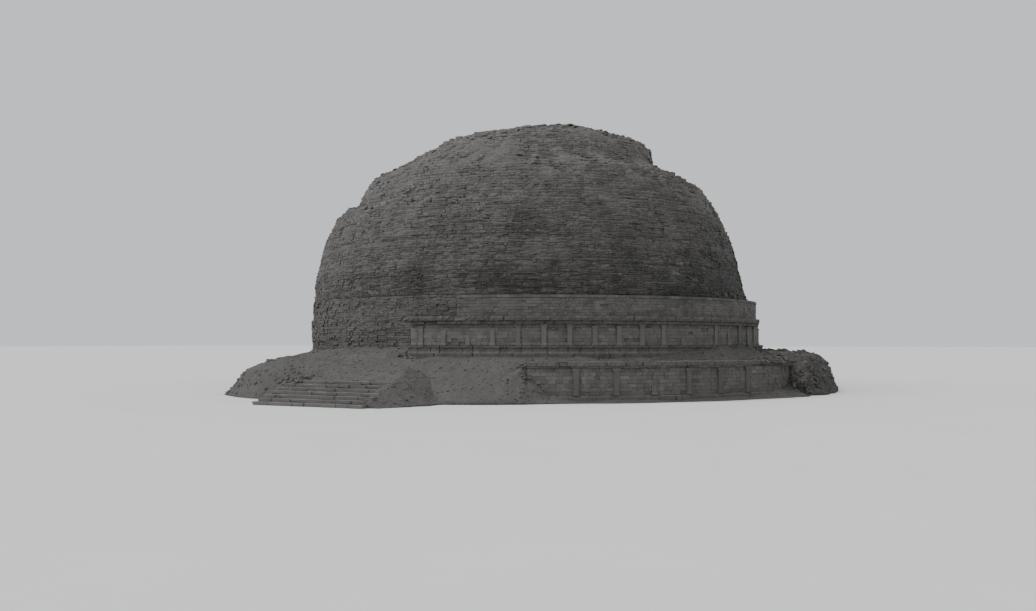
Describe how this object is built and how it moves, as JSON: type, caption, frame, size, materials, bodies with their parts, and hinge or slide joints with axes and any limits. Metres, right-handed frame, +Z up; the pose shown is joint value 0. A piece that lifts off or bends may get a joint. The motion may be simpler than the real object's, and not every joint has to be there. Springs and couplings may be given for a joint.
{
  "type": "ruined great stupa, 1:2 scale model",
  "caption": "Ruined circular masonry stupa: round terrace with flights of steps, pilastered drum, set-back plain wall and a broken rubble dome that has lost its facing.",
  "frame": {"origin": "on the stupa's vertical axis at ground level, on the terrace's flat underside", "axes": "+Z up; -Y out along the south flight of steps, +X towards the collapsed east flight"},
  "size_m": [28.524, 31.2, 11.6],
  "materials": {
    "dressed_stone": "weathered ashlar, worn arrises, open joints",
    "step_stone": "worn and broken treads",
    "terrace_paving": "stone flags under dust and earth",
    "core_rubble": "rough coursed core, bare",
    "dome_rubble": "rough coursed rubble, deeply weathered",
    "fallen_debris": "loose stones in earth and mortar dust"
  },
  "bodies": {
    "root": {"terrace_core": "terrace_paving", "terrace_wall_southeast": "dressed_stone", "terrace_coping_southeast": "dressed_stone", "terrace_wall_northeast": "dressed_stone", "terrace_coping_northeast": "dressed_stone", "terrace_wall_northwest": "dressed_stone", "terrace_coping_northwest": "dressed_stone", "terrace_wall_southwest": "dressed_stone", "terrace_coping_southwest": "dressed_stone", "steps_south": "step_stone", "steps_north": "step_stone", "steps_west": "step_stone", "drum_core": "core_rubble", "drum_base_moulding_south": "dressed_stone", "drum_wall_south": "dressed_stone", "drum_cornice_south": "dressed_stone", "upper_wall_south": "dressed_stone", "drum_base_moulding_east": "dressed_stone", "drum_wall_east": "dressed_stone", "drum_cornice_east": "dressed_stone", "upper_wall_east": "dressed_stone", "drum_base_moulding_north": "dressed_stone", "drum_wall_north": "dressed_stone", "drum_cornice_north": "dressed_stone", "upper_wall_north": "dressed_stone", "drum_base_moulding_west": "dressed_stone", "drum_wall_west": "dressed_stone", "drum_cornice_west": "dressed_stone", "upper_wall_west": "dressed_stone", "drum_bare_core": "core_rubble", "upper_bare_core": "core_rubble", "dome_lower": "dome_rubble", "dome_haunch": "dome_rubble", "dome_shoulder": "dome_rubble", "dome_upper": "dome_rubble", "dome_crown": "dome_rubble", "east_rubble_heap": "fallen_debris", "southwest_rubble_slope": "fallen_debris", "south_rubble_slope": "fallen_debris", "south_steps_rubble": "fallen_debris", "terrace_debris_southwest": "fallen_debris", "terrace_debris_southeast": "fallen_debris", "terrace_debris_northeast": "fallen_debris", "terrace_debris_northwest": "fallen_debris"}
  },
  "joints": []
}
